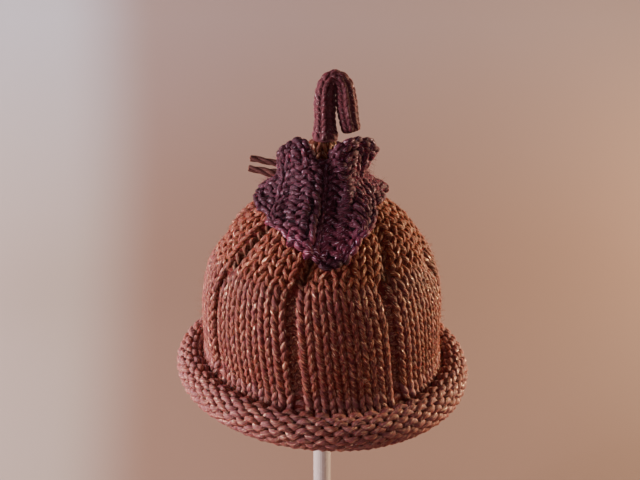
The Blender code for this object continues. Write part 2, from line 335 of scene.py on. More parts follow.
def wallPoint(turn, run, out):
    # turn in sections from the first line, run down the wall from the neck, out from its middle
    radius, height = alongLine(wall["line"], wall["run"], run).T
    outRadius, outHeight = alongLine(wall["out"], wall["run"], run).T
    onCrown = 1 - ease(wall["flareRun"], wall["flareRun"] + hat["flareFade"], run)
    push = out + onCrown * sectionPush(turn % 1.0, height, radius)
    azimuth = hat["firstLine"] + turn * 360 / hat["sections"]
    azimuth += hat["swirl"] * ease(hat["notchRise"], hat["swirlTop"], height)
    azimuth += hat["lean"] * np.clip((hat["notchRise"] - height) / hat["rise"], 0, hat["leanEnd"])
    radius = radius + outRadius * push
    height = height + outHeight * push
    slope = 1 - ease(-hat["rollDrop"], 0.0, height)
    angle = np.radians(azimuth)
    height = height - hat["tilt"] * slope * np.sin(angle)
    radius = radius + slope * hat["shift"] * np.sin(angle)
    radius = radius + slope * hat["wave"] * np.sin(hat["waves"] * angle)
    return placeAt(azimuth, radius, height)


# Crown and rolled brim, knitted stitch by stitch
knitting = {
    "columns": 7,               # of one section, the first one purled
    "stitchWidth": 0.008,
    "rowInRoll": 0.0039,
    "rowOnCrown": 0.0054,
    "rowAtNeck": 0.0048,
    "yarnRadius": 0.0017,
    "depth": 0.0009,            # the legs stand this far in front of the wall's middle
    "purlDepth": 0.0007,
    "purlSunk": 0.0018,         # the purled column lies this much deeper
    "purlNarrow": 0.3,          # and is this share of a stitch narrower
    "reach": 0.88,              # half a loop's height, in rows
    "splay": 0.21,              # how far the legs lean apart, in stitch widths
    "topReach": 0.71,           # above the notches the stitches are shorter and stand apart
    "topSplay": 0.26,
    "topDepth": 0.0012,
    "topPlump": 0.85,
    "joinStep": 3,              # stitches that the decreases move round from row to row
    "crease": 0.0020,           # the pleats' grooves are this much deeper in the stitches
    "creaseAt": 0.10,           # place across a section
    "creaseWide": 0.08,
    "creaseRun": (0.030, 0.055),    # from the neck, where the grooves start
    "blendBelow": 0.004,        # one way of knitting turns into the next this far below a border
    "blendAbove": 0.006,        # and above it
    "rollBlend": 0.016,         # along the wall, where the rows grow closer
    "neckBlend": 0.050,
    "rowSteps": 400,            # points along the wall at which the rows are measured
    "purlRows": 3,              # rows over which the purled column starts
    "rollRows": 2,              # and over which the roll's thicker stitches end
    "purlLead": 6,              # its loops go through the wall within a sixth of a stitch
    "pointsPerStitch": 14,
    "uneven": 0.035,
    "unevenRise": 1.5,
    "unevenGirth": 1.2,
    "rollDepth": 0.0015,
    "rollPlump": 1.10,          # the yarn looks thicker in the roll
    "backing": 0.0005,
    "backRise": 0.0004,         # the sheet behind the stitches lies this far out in the wall
    "backSunk": 1.2,            # and goes back by this share of the purled column's depth
    "backPurl": (0.4, 0.9),     # from the middle of that column, in stitches
    "backGrid": (192, 64),
    "seed": 7,
}


def rowTable():  # how far down the wall each row is, the first row at the roll's free edge
    run = np.linspace(0, wall["run"][-1], knitting["rowSteps"])
    roll = ease(wall["flareRun"], wall["flareRun"] + knitting["rollBlend"], run)
    neck = 1 - ease(0.0, knitting["neckBlend"], run)
    pitch = (knitting["rowOnCrown"] + roll * (knitting["rowInRoll"] - knitting["rowOnCrown"])
             + neck * (knitting["rowAtNeck"] - knitting["rowOnCrown"]))
    rows = np.concatenate([[0], np.cumsum(np.diff(run) / (0.5 * (pitch[1:] + pitch[:-1])))])
    total = round(rows[-1])
    return total, run[::-1], (rows[-1] - rows[::-1]) * total / rows[-1]


def rowCounts(total, rowRun):  # stitches in one section of each row
    counts = []
    for row in range(total):
        run = rowRun(row + 0.5)
        if run > wall["notchRun"]:
            counts.append(knitting["columns"])
            continue
        radius = np.interp(run, wall["run"], wall["line"][:, 0])
        fits = round(2 * math.pi * radius / (hat["sections"] * knitting["stitchWidth"]))
        counts.append(max(1, counts[-1] - 1, min(counts[-1], fits)))
    return counts


def columnEdges(row, counts, rollRow, notchRow):
    # where a row's stitches meet, at their heads and feet; the purled column is drawn in
    def below(place):
        edges = (np.arange(counts[0] + 1) - 0.5) / counts[0]
        begun = ease(rollRow - knitting["purlRows"], rollRow, place)
        squeeze = knitting["purlNarrow"] * begun / (2 * counts[0])
        edges[:2] += squeeze * np.array([1, -1])
        edges[-1] = edges[0] + 1
        return edges

    if row < notchRow:
        return below(row + 1), below(row)
    count, before = counts[row], counts[row - 1]
    heads = np.arange(count + 1) / count
    if row == notchRow:
        feet = below(row)[1:].copy()
        feet[-1] = feet[0] + 1
    else:                       # where a row has one stitch fewer, it joins two of the row below
        joined = knitting["joinStep"] * row % count
        feet = (np.arange(count + 1) + (before - count) * (np.arange(count + 1) > joined)) / before
    return heads, feet


def creaseAt(turn, run):  # how much deeper the stitches lie in the grooves between the pleats
    notch = wall["notchRun"]
    above = ease(notch + knitting["blendBelow"], notch - knitting["blendAbove"], run)
    above = above * ease(*knitting["creaseRun"], run)
    aside = asideFrom(knitting["creaseAt"], turn)
    return knitting["crease"] * above * bell(aside, knitting["creaseWide"])


def knitCrown():
    total, runs, rows = rowTable()
    counts = rowCounts(total, lambda row: np.interp(row, rows, runs))
    notchRow = counts.index(knitting["columns"] - 1)
    rollRow = int(np.interp(-wall["flareRun"], -runs, rows)) + 1
    chance = np.random.default_rng(knitting["seed"])
    top = dict(knitting, reach=knitting["topReach"], splay=knitting["topSplay"],
               depth=knitting["topDepth"])
    strands = []
    for row, count in enumerate(counts):
        knit = knitting if row < notchRow else top
        heads, feet = columnEdges(row, counts, rollRow, notchRow)
        stitch, t, across = loopsOf(count * hat["sections"], knit)
        section, column = stitch // count, stitch % count
        foot = feet[column] + (feet[column + 1] - feet[column]) * across
        head = heads[column] + (heads[column + 1] - heads[column]) * across
        turn = section + foot + (head - foot) * (1 - np.cos(t)) / 2
        rise = row + 0.5 - knit["reach"] * np.cos(t)
        inRoll = 1 - ease(rollRow - knitting["rollRows"], rollRow, row)
        depth = knit["depth"] + inRoll * (knitting["rollDepth"] - knit["depth"])
        depth = np.full(len(t), depth)
        sunk = np.zeros(len(t))
        if rollRow - knitting["purlRows"] <= row < notchRow:
            # the first column is purled, its neighbours lead into it
            lead = knitting["purlLead"] * np.minimum(t, 2 * math.pi - t) / (2 * math.pi)
            lead = np.clip(lead, 0, 1)
            beside = ((column == 1) & (t < math.pi)) | ((column == count - 1) & (t >= math.pi))
            depth = np.where(beside, depth * lead, depth)
            depth = np.where(column == 0, -knitting["purlDepth"] * lead, depth)
            sunk = np.where(column == 0, 1.0, np.where(beside, 1 - lead, 0.0))
            sunk = sunk * knitting["purlSunk"] * ease(rollRow - knitting["purlRows"], rollRow, row)
        out = -depth * np.cos(2 * t) - sunk
        shift = unevenLoops(chance, knitting, 3, count * hat["sections"], t)
        rise = rise + shift[0] * knitting["unevenRise"]
        past = np.clip(-rise, 0, None) * knitting["rowInRoll"]
        run = np.interp(rise, rows, runs) + past
        out = out - creaseAt(turn, run)
        points = wallPoint(turn + shift[1] / count, run, out + shift[2] * knitting["depth"])
        plump = 1 + inRoll * (knitting["rollPlump"] - 1)
        plump *= 1.0 if row < notchRow else knitting["topPlump"]
        strands.append((points, True, plump * (1 + knitting["unevenGirth"] * shift[0])))
    return strands, rollRow, notchRow


def crownBack(across, down):
    turn, run = across * hat["sections"], down * wall["run"][-1]
    notch, flare = wall["notchRun"], wall["flareRun"]
    below, above = knitting["blendBelow"], knitting["blendAbove"]
    stitches = knitting["columns"] * np.abs(asideFrom(0, turn))
    purled = ease(notch, notch + below, run) * (1 - ease(flare - below, flare + below, run))
    sunk = knitting["purlSunk"] * purled * (1 - ease(*knitting["backPurl"], stitches))
    inRoll = ease(flare, flare + hat["flareFade"], run)
    atTop = ease(notch, notch - above, run)
    rise = knitting["backRise"] * (1 + 2 * inRoll - 2 * atTop)
    return wallPoint(turn, run, rise - knitting["backSunk"] * sunk - creaseAt(turn, run))


# Painted shade and painted highlight in the yarn's colour: darker in the creases and notches, at
# the neck, at the front of the roll and at the ruff's left; paler at its right and just above the
# petal's tip; the petal's very tip is darker again
paintedShading = {
    "line": 0.10,               # place across a section of the groove that runs up from a notch
    "lineWide": 0.058,
    "lineStart": 0.006,
    "dent": 0.07,               # and of the dent in the notch itself
    "dentWide": 0.09,
    "dentRise": 0.0045,         # above the notch
    "dentTall": 0.0045,
    # painted shade in the grooves and in the dents of the notches
    "dark": 0.66,
    "neck": (0.080, 0.092),     # heights between which the neck turns darker, painted shade inside the ruff
    "neckDark": 0.30,
    "roll": (-0.012, -0.026),   # heights between which the roll starts, darker in front: painted shade on the front, which faces away from the lamps
    "rollDark": 0.20,
    "rollWide": 32,             # degrees
    "petal": (60, 40),          # degrees from the front, within which the ruff's petal lies
    "tip": (0.069, 0.060),      # heights between which it turns paler: a painted highlight
    "tipEnd": (0.0550, 0.0510),     # and darker again at its very end
    # how much paler the painted highlight makes the petal above its tip
    "pale": 1.8,
    "tipDark": 0.50,
    "ruffLeft": 0.28,           # painted shade at the ruff's left and painted light at its right
}


# painted shade on the crown: in its grooves and notch dents, at the neck and on the front of the
# roll
def crownPaintedShade(azimuth, height):
    notch = hat["notchRise"]
    turn = azimuth - hat["firstLine"] - hat["swirl"] * ease(notch, hat["swirlTop"], height)
    turn = turn * hat["sections"] / 360
    groove = bell(asideFrom(paintedShading["line"], turn), paintedShading["lineWide"])
    groove = groove * ease(notch, notch + paintedShading["lineStart"], height)
    dent = bell(asideFrom(paintedShading["dent"], turn), paintedShading["dentWide"])
    dent = dent * bell(height - notch - paintedShading["dentRise"], paintedShading["dentTall"])
    neck = paintedShading["neckDark"] * ease(*paintedShading["neck"], height)
    front = bell(azimuth, paintedShading["rollWide"]) * ease(*paintedShading["roll"], height)
    return np.maximum(neck + paintedShading["rollDark"] * front,
                      paintedShading["dark"] * np.maximum(groove, dent))


# painted shade and painted highlight on the ruff: darker at the left and paler at the right, paler
# above the petal's tip and darker at its very end
def ruffPaintedShade(azimuth, height):
    front = ease(*paintedShading["petal"], np.abs(azimuth))
    end = ease(*paintedShading["tipEnd"], height)
    pale = ease(*paintedShading["tip"], height) * (1 - end)
    side = paintedShading["ruffLeft"] * np.sin(np.radians(azimuth))
    return front * (paintedShading["tipDark"] * end - paintedShading["pale"] * pale) - side


fuzz = {
    "crown": 6800,
    "ruff": 1300,
    "radius": 0.00006,
    "sides": 4,
    "taper": (1.0, 0.9, 0.7, 0.4),
    "length": (0.0015, 0.0050),
    "lift": 0.55,
    "stray": 0.6,
    "bend": 0.35,
    "steps": 300,               # points along the wall between which the hairs are shared out
    "start": 0.0018,            # outside the wall's middle
    "probe": 0.001,             # how far out the direction off the wall is measured
    "besideSlit": 6,            # degrees that stay free of it on both sides of the ruff's slit
    "seed": 3,
}


def crownHairs():
    chance = np.random.default_rng(fuzz["seed"])
    spots = np.linspace(0, wall["run"][-1], fuzz["steps"])
    weight = np.cumsum(np.interp(spots, wall["run"], wall["line"][:, 0]))
    run = np.interp(chance.uniform(0, weight[-1], fuzz["crown"]), weight, spots)
    turn = chance.uniform(0, hat["sections"], fuzz["crown"])
    places = wallPoint(turn, run, fuzz["start"])
    outs = (wallPoint(turn, run, fuzz["start"] + fuzz["probe"]) - places) / fuzz["probe"]
    return looseHairs(places, outs, fuzz, fuzz["seed"])


# Ruff round the neck, knitted in rows that end where its lower edge steps up
tie = {
    "radius": 0.00175,
    "end": 0.0230,              # how far each end sticks out past the middle of the tied loop
    "step": 0.0062,             # one end lies this much above the other
    "lift": 0.0038,
    "gap": 0.0004,
    "bend": 15,                 # degrees before the slit where the tie turns outwards
    "spans": 22,
    "plies": 3,
    "twist": 0.026,             # along the tie for one turn of its strands
    "thicker": 0.6,             # the lower end is this share thicker where it comes out
    "points": 220,
    "tips": (0.09, 0.32, 0.66, 1.0),
    "longer": (1.10, 1.05),     # the lower and the upper end, as shares of the solid's
    "bundle": 2.15,             # radius of three strands twisted together, in radii of one
    "plump": 1.40,
    "apart": 0.75,              # how far its strands stand from the middle, in their own radii
    "curveSteps": 12,
}
ruff = {
    "wall": 0.0042,
    "gap": 0.0005,
    "spread": 0.004,
    "waistShare": 0.81,
    "waistRoom": 0.0006,
    "rise": 0.0250,
    "reach": 0.0130,
    "curl": 1.4,
    "onPast": 1.4,              # its profile goes on past the brow to this share of the rise
    "profilePoints": 14,
    "length": 0.0540,
    "fold": 0.0040,
    "slit": -100,
    "slitRoom": 0.0006,
    "crest": -9,                # azimuth of the fold that the columns are counted from
    "stitchWidth": 0.0078,
    "row": 0.0052,
    "yarnRadius": 0.00175,
    "depth": 0.0011,
    "reachOfLoop": 0.86,
    "splay": 0.20,
    "pointsPerStitch": 14,
    "uneven": 0.09,
    "unevenOut": 2,
    "rowInside": 0.2,           # a stitch is kept where its middle is this share of a row inside
    "slitSide": 0.1,            # and this share of a stitch beside the slit
    "edgeStitch": 0.0056,
    "edgeReach": 0.0016,
    "edgePoints": 350,
    "slitPoints": 20,
    "edgeIn": 0.0033,           # from the solid's edge in to the middle of the looped row
    "knitColumns": (0, 3, 4, 7, 8, 12, 13, -3, -8),
    "backing": 0.0005,
    "backGrid": (150, 40),
    "seed": 11,
}
ruffHem = (  # azimuth, share of the length
    (-100, 0.34), (-88, 0.34), (-76, 0.38), (-52, 0.44), (-41, 0.47), (-33, 0.57),
    (-24, 0.60), (-15, 0.70), (-8, 0.79), (3, 0.97), (9, 0.93), (15, 0.84), (23, 0.67),
    (30, 0.60), (37, 0.49), (45, 0.38), (54, 0.34), (66, 0.35), (80, 0.33), (92, 0.30),
    (104, 0.34), (115, 0.42), (132, 0.58), (148, 0.44), (178, 0.74), (198, 0.45),
    (212, 0.43), (228, 0.58), (245, 0.42), (260, 0.34),
)
ruffBrow = (  # azimuth, share of the rise, share of the reach past the waist
    (-100, 0.44, 0.00), (-85, 0.50, 0.00), (-70, 0.62, 0.04), (-55, 0.82, 0.00),
    (-42, 0.95, -0.10), (-31, 1.02, -0.16), (-24, 0.94, -0.24), (-15, 0.56, -0.30),
    (4, 0.51, -0.28), (15, 0.55, -0.15), (25, 0.94, 0.05), (34, 1.02, 0.18),
    (46, 1.02, 0.27), (60, 0.88, 0.52), (72, 0.72, 0.72), (85, 0.60, 0.62),
    (100, 0.55, 0.55), (115, 0.56, 0.38), (130, 0.58, 0.20), (155, 0.55, -0.10),
    (180, 0.51, -0.30), (205, 0.53, -0.15), (230, 0.54, 0.00), (260, 0.44, 0.00),
)
ruffFolds = (  # azimuth, share of the fold
    (-100, 0.3), (-84, 0.35), (-66, 0.4), (-48, 0.15), (-30, 0.5), (-9, 1.0), (0, 0.1),
    (14, 0.0), (26, 0.7), (38, 0.6), (52, 0.1), (66, 0.3), (80, 0.0), (94, 0.1),
    (108, 0.3), (130, 0.7), (150, 0.15), (176, 0.7), (200, 0.1), (222, 0.7),
    (244, 0.2), (260, 0.3),
)


def tieRing():  # height and radius of the tie's lower turn
    height = ruff["waistShare"] * hat["rise"] - tie["step"] / 2
    near = radiusAt(crownLine(), height)
    room = tie["gap"] + tie["radius"] + ridgeAt(near + tie["radius"])
    return height, radiusAt(crownLine(room), height)


def ruffProfile(azimuth, runs):  # radius and height at distances down from the waist
    fold = ruff["fold"] * readTable(ruffFolds, azimuth)
    waistRise = ruff["waistShare"] * hat["rise"]
    waist = tieRing()[1] + tie["radius"] + ruff["waistRoom"] + ruff["wall"] / 2 + fold
    rise = ruff["rise"] * readTable(ruffBrow, azimuth, 1)
    reach = ruff["reach"] * readTable(ruffBrow, azimuth, 2)
    neck = crownLine(ruff["gap"] + ruff["wall"] / 2 + ridgeAt(waist))
    share = np.linspace(ruff["onPast"], 0, ruff["profilePoints"], endpoint=False)
    height = waistRise + rise * share
    upper = np.column_stack([np.maximum(waist + reach * share ** ruff["curl"],
                                        radiusAt(neck, height)), height])
    skirt = crownLine(ruff["gap"] + ruff["wall"] / 2 + ridgeAt(hat["radius"]) + fold)
    skirt = skirt[skirt[:, 0] > waist + ruff["spread"]]
    line = np.vstack([upper, [[waist, waistRise]], skirt])
    run = runAlong(line)
    run = run - run[len(upper)]
    return alongLine(line, run, runs).T


ruffGrid = {
    "turnStep": 1.5,
    "runStep": 0.001,
    "turns": (-104, 264.5),     # degrees, a little past the slit on both sides
    "reach": (-0.032, 0.0605),  # from the waist, up past the brow and down past the hem
    "blur": (1, 2, 3, 2, 1),    # weights that round the profile
}
ruffGrid["azimuths"] = np.arange(*ruffGrid["turns"], ruffGrid["turnStep"])
ruffGrid["runs"] = np.arange(*ruffGrid["reach"], ruffGrid["runStep"])


def ruffSurface():
    rings = [ruffProfile(azimuth, ruffGrid["runs"]) for azimuth in ruffGrid["azimuths"]]
    blur = np.array(ruffGrid["blur"]) / sum(ruffGrid["blur"])
    room = len(blur) // 2
    places = []
    for azimuth, (radius, height) in zip(ruffGrid["azimuths"], rings):
        radius = np.convolve(np.pad(radius, room, "edge"), blur, "valid")
        places.append(placeAt(azimuth, radius, height))
    places = np.array(places)
    sideways, down = np.gradient(places, axis=(0, 1))
    ruffGrid["places"] = places
    ruffGrid["out"] = unit(np.cross(down, sideways))


def onGrid(values, azimuth, run):
    steps = ((azimuth - ruffGrid["azimuths"][0]) / ruffGrid["turnStep"],
             (run - ruffGrid["runs"][0]) / ruffGrid["runStep"])
    a, r = (np.clip(step, 0, size - 1.001) for step, size in zip(steps, values.shape))
    low, left = a.astype(int), r.astype(int)
    a, r = (a - low)[:, None], (r - left)[:, None]
    return ((1 - a) * ((1 - r) * values[low, left] + r * values[low, left + 1])
            + a * ((1 - r) * values[low + 1, left] + r * values[low + 1, left + 1]))


def ruffPoint(azimuth, run, out=0.0):
    return (onGrid(ruffGrid["places"], azimuth, run)
            + onGrid(ruffGrid["out"], azimuth, run) * np.asarray(out)[..., None])


def ruffEdges(azimuth):  # the looped row's middle at both edges, as distances down from the waist
    rise = ruff["rise"] * readTable(ruffBrow, azimuth, 1)
    reach = np.abs(ruff["reach"] * readTable(ruffBrow, azimuth, 2))
    hem = ruff["length"] * readTable(ruffHem, azimuth)
    return ruff["edgeIn"] - np.hypot(rise, reach), hem - ruff["edgeIn"]


def slitEdge(run):  # degrees from the slit to the looped row beside it
    place = ruffPoint(np.full(len(run), float(ruff["slit"])), run)
    half = tie["radius"] + ruff["slitRoom"] + ruff["edgeReach"] + ruff["yarnRadius"]
    return np.degrees(half / np.hypot(place[:, 0], place[:, 1]))


def fromSlit(free, share):  # share of the way round, with this much free at both ends
    return ruff["slit"] + free + (360 - 2 * free) * share


def knitRuff():
    chance = np.random.default_rng(ruff["seed"])
    azimuths = ruffGrid["azimuths"]
    upper, lower = ruffEdges(azimuths)
    strands = []
    for row in range(int(upper.min() / ruff["row"]) - 1, int(lower.max() / ruff["row"]) + 1):
        middle = (row + 0.5) * ruff["row"]
        ring = onGrid(ruffGrid["places"], azimuths, np.full(len(azimuths), middle))
        radius = float(np.mean(np.hypot(ring[:, 0], ring[:, 1])))
        wide = math.degrees(ruff["stitchWidth"] / radius)
        slit = float(slitEdge(np.array([middle]))[0]) + ruff["slitSide"] * wide
        first = math.ceil((ruff["slit"] + slit - ruff["crest"]) / wide)
        last = math.floor((ruff["slit"] + 360 - slit - ruff["crest"]) / wide)
        columns = np.arange(first, last)
        top, hem = ruffEdges(ruff["crest"] + (columns + 0.5) * wide)
        inside = ruff["rowInside"] * ruff["row"]
        kept = (middle > top + inside) & (middle < hem - inside)
        starts = np.flatnonzero(kept & ~np.concatenate([[False], kept[:-1]]))
        ends = np.flatnonzero(kept & ~np.concatenate([kept[1:], [False]])) + 1
        for start, end in zip(starts, ends):
            stitch, t, across = loopsOf(end - start, ruff)
            column = stitch + columns[start]
            azimuth = ruff["crest"] + (columns[start] + stitch + across) * wide
            face = np.where(np.isin(column, ruff["knitColumns"]), 1.0, -1.0)
            shift = unevenLoops(chance, ruff, 3, end - start, t)
            run = middle + (ruff["reachOfLoop"] * np.cos(t) + shift[0]) * ruff["row"]
            out = -ruff["depth"] * (face * np.cos(2 * t) + ruff["unevenOut"] * shift[2])
            points = ruffPoint(azimuth + shift[1] * wide, run, out)
            strands.append((points, False, 1 + shift[0]))
    return strands


def edgeRuff():  # a row of looped stitches all the way round the ruff's edge
    around = np.linspace(0, 1, ruff["edgePoints"])
    side = np.linspace(0, 1, ruff["slitPoints"])
    top, hem = (float(edge[0]) for edge in ruffEdges(np.array([float(ruff["slit"])])))
    first, last = slitEdge(np.array([hem, top]))
    hemAzimuth, topAzimuth = fromSlit(first, around), fromSlit(last, around)
    climb = hem + (top - hem) * side
    azimuth = np.concatenate([hemAzimuth, ruff["slit"] + 360 - slitEdge(climb), topAzimuth[::-1],
                              ruff["slit"] + slitEdge(climb[::-1])])
    edgeRun = np.concatenate([ruffEdges(hemAzimuth)[1], climb, ruffEdges(topAzimuth)[0][::-1],
                              climb[::-1]])
    path = ruffPoint(azimuth, edgeRun)
    out = onGrid(ruffGrid["out"], azimuth, edgeRun)
    run = runAlong(path)
    count = round(run[-1] / ruff["edgeStitch"])
    stitch, t, across = loopsOf(count, ruff)
    along = (stitch + across) / count * run[-1] % run[-1]
    middle, normal = alongLine(path, run, along), alongLine(out, run, along)
    ahead = alongLine(path, run, (along + ruff["edgeReach"]) % run[-1])
    aside = np.cross(unit(ahead - middle), normal)
    points = (middle - aside * (ruff["edgeReach"] * np.cos(t))[:, None]
              + normal * (ruff["depth"] * np.cos(2 * t))[:, None])
    return [(points, True, np.ones(len(t)))]


def ruffBack(across, down):
    azimuth = fromSlit(slitEdge(np.zeros(1))[0], across)
    top, hem = ruffEdges(azimuth)
    return ruffPoint(azimuth, top + (hem - top) * down)


def ruffHairs():
    chance = np.random.default_rng(fuzz["seed"] + 1)
    free = fuzz["besideSlit"]
    azimuth = ruff["slit"] + chance.uniform(free, 360 - free, fuzz["ruff"])
    top, hem = ruffEdges(azimuth)
    run = top + (hem - top) * chance.uniform(0, 1, fuzz["ruff"])
    places = ruffPoint(azimuth, run, fuzz["start"])
    return looseHairs(places, onGrid(ruffGrid["out"], azimuth, run), fuzz, fuzz["seed"] + 1)


# Stem, a knitted cord that bends over into a hook
stem = {
    "radius": 0.0058,
    "height": 0.0325,
    "gap": 0.0005,
    "lean": 0.0040,
    "seat": 0.0003,
    "columns": 4,
    "row": 0.0033,
    "yarnRadius": 0.0015,
    "depth": 0.0005,
    "plump": (0.0003, 0.0008),  # how far the knitting is outside the solid, below and in the bend
    "bend": (0.35, 0.60),       # shares of the height between which the bend starts
    "curveSteps": 10,
    "coreOut": 0.0009,          # the core behind the stitches stands this far past their middle
    "coreSides": 12,
    "coreShort": 2,             # it ends this many of the line's points before the tip
    "close": 0.6,               # share of the radius that the last rows draw in over the end
    "closed": 0.2,              # and the share that they leave open
    "reachOfLoop": 0.60,
    "splay": 0.05,
    "pointsPerStitch": 14,
    "uneven": 0.04,
    "firstColumn": 0.73,
    "seed": 5,
}
stemRoute = (  # side, back and height as shares of the span, lean and height, girth of the radius
    (0.14, 0.0, 0.00, 1.36), (0.14, 0.0, 0.18, 1.12), (0.13, 0.2, 0.38, 1.00),
    (0.13, 0.6, 0.58, 0.96), (0.15, 0.8, 0.78, 0.87), (0.22, 0.9, 0.90, 0.78),
    (0.38, 1.0, 0.985, 0.70), (0.59, 1.1, 1.01, 0.68), (0.80, 1.0, 0.985, 0.70),
    (0.97, 0.9, 0.90, 0.78), (1.05, 0.7, 0.78, 0.87), (1.12, 0.3, 0.58, 0.95),
    (1.21, 0.0, 0.36, 0.97), (1.36, -0.3, 0.13, 0.91),
)


def carryFrame(path, side):  # two directions across a path, carried along it without twisting
    forward = unit(np.gradient(path, axis=0))
    sides = []
    for ahead in forward:
        side = side - ahead * np.dot(side, ahead)
        side = side / np.linalg.norm(side)
        sides.append(side)
    sides = np.array(sides)
    return sides, np.cross(forward, sides)


def stemPath():
    foot = hat["height"] + hat["rise"] + stem["seat"]
    span = 2 * stem["radius"] + stem["gap"]
    knots = [(side * span, back * stem["lean"], foot + rise * stem["height"], girth)
             for side, back, rise, girth in stemRoute]
    line = smoothLine(knots, stem["curveSteps"])
    low, high = stem["plump"]
    start, end = stem["bend"]
    inBend = ease(foot + start * stem["height"], foot + end * stem["height"], line[:, 2])
    girth = stem["radius"] * line[:, 3] + low + (high - low) * inBend
    return line[:, :3], girth - stem["yarnRadius"] - stem["depth"]


def knitStem():
    path, middle = stemPath()
    sides, backs = carryFrame(path, np.array([1.0, 0.0, 0.0]))
    run = runAlong(path)
    end = run[-1] - stem["yarnRadius"]
    length = end - stem["yarnRadius"] + stem["close"] * stem["radius"]
    rows = round(length / stem["row"])
    print("stem:", round(run[-1] * 1000), "mm long,", rows, "rows")
    chance = np.random.default_rng(stem["seed"])
    strands = []
    for row in range(rows):
        stitch, t, across = loopsOf(stem["columns"], stem)
        shift = unevenLoops(chance, stem, 2, stem["columns"], t)
        turn = 2 * math.pi * (stitch + across + shift[1] + stem["firstColumn"]) / stem["columns"]
        rise = row + 0.5 - stem["reachOfLoop"] * np.cos(t) + shift[0]
        spot = np.clip(stem["yarnRadius"] + rise * length / rows, 0, None)
        along = np.minimum(spot, end)
        centre, side, back = (alongLine(part, run, along) for part in (path, sides, backs))
        reach = np.interp(along, run, middle) - stem["depth"] * np.cos(2 * t)
        reach = np.maximum(reach - (spot - along), stem["closed"] * stem["radius"])
        away = side * np.cos(turn)[:, None] + back * np.sin(turn)[:, None]
        points = centre + reach[:, None] * away
        strands.append((points, True, 1 + shift[0]))
    return strands


def twistTie():  # the tie's twisted strands, from one end round the neck to the other
    low, reach = tieRing()
    share = np.linspace(0, 1, tie["spans"] + 1)
    loop = placeAt(fromSlit(tie["bend"], share), reach, low + tie["step"] * share)
    tips = np.array(tie["tips"])
    ends = [placeAt(np.full(len(tips), ruff["slit"]), reach + tips * longer * tie["end"],
                    height + tips * longer * tie["lift"])
            for height, longer in zip((low, low + tie["step"]), tie["longer"])]
    path = smoothLine(np.vstack([ends[0][::-1], loop, ends[1]]), tie["curveSteps"])
    run = runAlong(path)
    print("tie:", round(run[-1] * 1000), "mm long")
    along = np.linspace(0, run[-1], tie["points"])
    path = alongLine(path, run, along)
    sides, ups = carryFrame(path, np.array([0.0, 0.0, 1.0]))
    strand = tie["plump"] * tie["radius"] / tie["bundle"]
    atExit = ease(0, tie["end"], along) * (1 - ease(tie["end"], 2 * tie["end"], along))
    thick = 1 + tie["thicker"] * atExit
    strands = []
    for ply in range(tie["plies"]):
        angle = 2 * math.pi * (along / tie["twist"] + ply / tie["plies"])
        offset = sides * np.cos(angle)[:, None] + ups * np.sin(angle)[:, None]
        strands.append((path + offset * (strand * tie["apart"] * thick)[:, None], False, thick))
    return strands, strand


# Materials
def newFinish(name):
    finish = bpy.data.materials.new(name)
    finish.use_nodes = True
    return finish, finish.node_tree, finish.node_tree.nodes["Principled BSDF"]


def setSockets(node, values):  # a socket of another node is linked, anything else is set
    for socket, value in values.items():
        if isinstance(value, bpy.types.NodeSocket):
            node.id_data.links.new(value, node.inputs[socket])
        else:
            node.inputs[socket].default_value = value


def addNode(tree, kind, values=(), **settings):
    node = tree.nodes.new(kind)
    for name, value in settings.items():
        setattr(node, name, value)
    setSockets(node, dict(values))
    return node


def calc(tree, operation, first, second=0.0, third=0.0):
    values = {0: first, 1: second, 2: third}
    return addNode(tree, "ShaderNodeMath", values, operation=operation).outputs[0]


def mixColours(tree, share, first, second, blend="MIX"):
    values = {0: share, 6: first, 7: second}
    for slot in (6, 7):
        if isinstance(values[slot], tuple):
            values[slot] = (*values[slot], 1)
    return addNode(tree, "ShaderNodeMix", values, data_type="RGBA", blend_type=blend).outputs[2]


def remap(tree, value, low, high, first=0.0, last=1.0, curve="LINEAR"):
    values = {0: value, 1: low, 2: high, 3: first, 4: last}
    return addNode(tree, "ShaderNodeMapRange", values, interpolation_type=curve).outputs[0]


def noise(tree, place, **values):
    return addNode(tree, "ShaderNodeTexNoise", {"Vector": place, **values}).outputs["Fac"]


def placeOn(tree):
    return addNode(tree, "ShaderNodeTexCoord").outputs["Object"]


def addBump(shader, height, **values):
    bump = addNode(shader.id_data, "ShaderNodeBump", {"Height": height, **values})
    setSockets(shader, {"Normal": bump.outputs[0]})


strandInputs = {
    "Turns": 1.2,               # of the plies, in each centimetre
    "Plies": 3.0,
    "Patch": 0.25,              # slow changes of tone in each centimetre
    "Streak": 2.5,              # of the fibres, across the yarn and along each centimetre
    "Length": 2.0,
    "FleckSize": 3.0,
}


